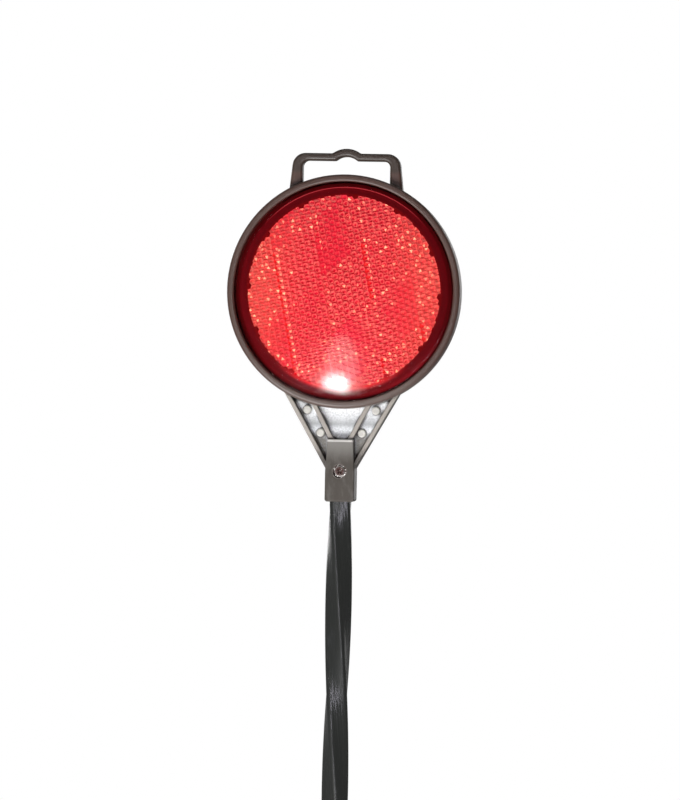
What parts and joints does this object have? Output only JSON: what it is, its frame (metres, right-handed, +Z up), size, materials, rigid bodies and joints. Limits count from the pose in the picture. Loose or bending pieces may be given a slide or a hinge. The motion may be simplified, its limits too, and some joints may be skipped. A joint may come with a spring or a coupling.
{
  "type": "driveway snow marker",
  "caption": "Driveway snow marker: round red reflector facing both ways in a plastic ring housing with a hanging loop and ribbed neck, clamped on a twisted square steel stake.",
  "frame": {"origin": "the tip of the stake, on the stake's axis", "axes": "+Z up along the stake, -Y towards the front reflector's viewer, +X to the right seen from the front"},
  "size_m": [0.0888, 0.014, 0.9144],
  "materials": {
    "stake_paint": "gloss black enamel",
    "housing_plastic": "satin brown moulded plastic",
    "red_lens": "clear red prismatic reflector",
    "backing_plastic": "matte grey plastic",
    "rivet_plastic": "satin grey plastic",
    "screw_steel": "plated steel, browned"
  },
  "bodies": {
    "stake": {"stake": "stake_paint"},
    "head": {"front_shell": "housing_plastic", "rear_shell": "housing_plastic", "front_lens": "red_lens", "rear_lens": "red_lens", "front_backing_plate": "backing_plastic", "rear_backing_plate": "backing_plastic", "neck_rivets": "rivet_plastic"},
    "washer": {"screw_washer": "screw_steel"},
    "screw": {"clamp_screw": "screw_steel"}
  },
  "joints": [
    {"name": "head_lift", "type": "slide", "parent": "stake", "child": "head", "axis": [0, 0, 1], "range_m": [0, 0.02]},
    {"name": "screw_travel", "type": "slide", "parent": "head", "child": "washer", "axis": [0, -1, 0], "range_m": [0, 0.0015]},
    {"name": "screw_turn", "type": "hinge", "parent": "washer", "child": "screw", "pos_m": [0, -0.0055, 0.79165], "axis": [0, -1, 0], "range_deg": [0, 1080]}
  ],
  "couplings": [
    {"joint": "screw_turn", "follows": "screw_travel", "rad_per_m": 12566}
  ]
}
